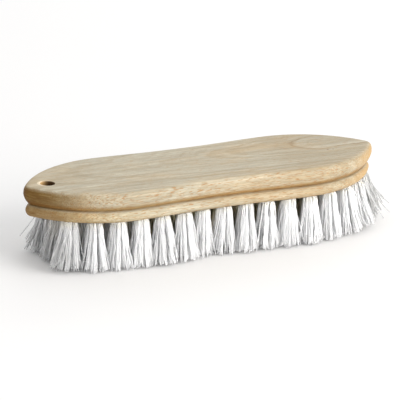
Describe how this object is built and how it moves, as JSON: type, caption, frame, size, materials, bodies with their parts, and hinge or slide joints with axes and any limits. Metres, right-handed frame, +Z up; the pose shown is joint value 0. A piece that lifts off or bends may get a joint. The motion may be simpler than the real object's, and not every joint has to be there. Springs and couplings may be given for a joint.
{
  "type": "scrub brush",
  "caption": "Hand scrub brush: a waisted, pointed wooden block with a grooved edge and a hanging hole, set with tufts of stiff white bristle.",
  "frame": {"origin": "on the surface that the bristle tips stand on, below the middle of the block", "axes": "+X along the length of the block, away from the hanging hole; +Y across it, with the front long side at -Y; +Z up, out of the flat top"},
  "size_m": [0.22, 0.065, 0.046],
  "materials": {
    "block_wood": "sanded and unvarnished, satin",
    "bristle": "extruded filament, satin",
    "anchor_steel": "drawn flat wire"
  },
  "bodies": {
    "root": {"wood_block": "block_wood", "staple_anchors": "anchor_steel", "nose_tuft": "bristle", "front_tuft_1": "bristle", "front_tuft_2": "bristle", "front_tuft_3": "bristle", "front_tuft_4": "bristle", "front_tuft_5": "bristle", "front_tuft_6": "bristle", "front_tuft_7": "bristle", "front_tuft_8": "bristle", "front_tuft_9": "bristle", "front_tuft_10": "bristle", "front_tuft_11": "bristle", "front_tuft_12": "bristle", "front_tuft_13": "bristle", "front_tuft_14": "bristle", "front_tuft_15": "bristle", "back_tuft_1": "bristle", "back_tuft_2": "bristle", "back_tuft_3": "bristle", "back_tuft_4": "bristle", "back_tuft_5": "bristle", "back_tuft_6": "bristle", "back_tuft_7": "bristle", "back_tuft_8": "bristle", "back_tuft_9": "bristle", "back_tuft_10": "bristle", "back_tuft_11": "bristle", "back_tuft_12": "bristle", "back_tuft_13": "bristle", "back_tuft_14": "bristle", "back_tuft_15": "bristle", "inner_nose_tuft": "bristle", "inner_heel_tuft": "bristle", "inner_front_tuft_1": "bristle", "inner_front_tuft_2": "bristle", "inner_front_tuft_3": "bristle", "inner_front_tuft_4": "bristle", "inner_front_tuft_5": "bristle", "inner_front_tuft_6": "bristle", "inner_front_tuft_7": "bristle", "inner_front_tuft_8": "bristle", "inner_front_tuft_9": "bristle", "inner_front_tuft_10": "bristle", "inner_front_tuft_11": "bristle", "inner_front_tuft_12": "bristle", "inner_back_tuft_1": "bristle", "inner_back_tuft_2": "bristle", "inner_back_tuft_3": "bristle", "inner_back_tuft_4": "bristle", "inner_back_tuft_5": "bristle", "inner_back_tuft_6": "bristle", "inner_back_tuft_7": "bristle", "inner_back_tuft_8": "bristle", "inner_back_tuft_9": "bristle", "inner_back_tuft_10": "bristle", "inner_back_tuft_11": "bristle", "inner_back_tuft_12": "bristle", "centre_row_tufts": "bristle"}
  },
  "joints": []
}
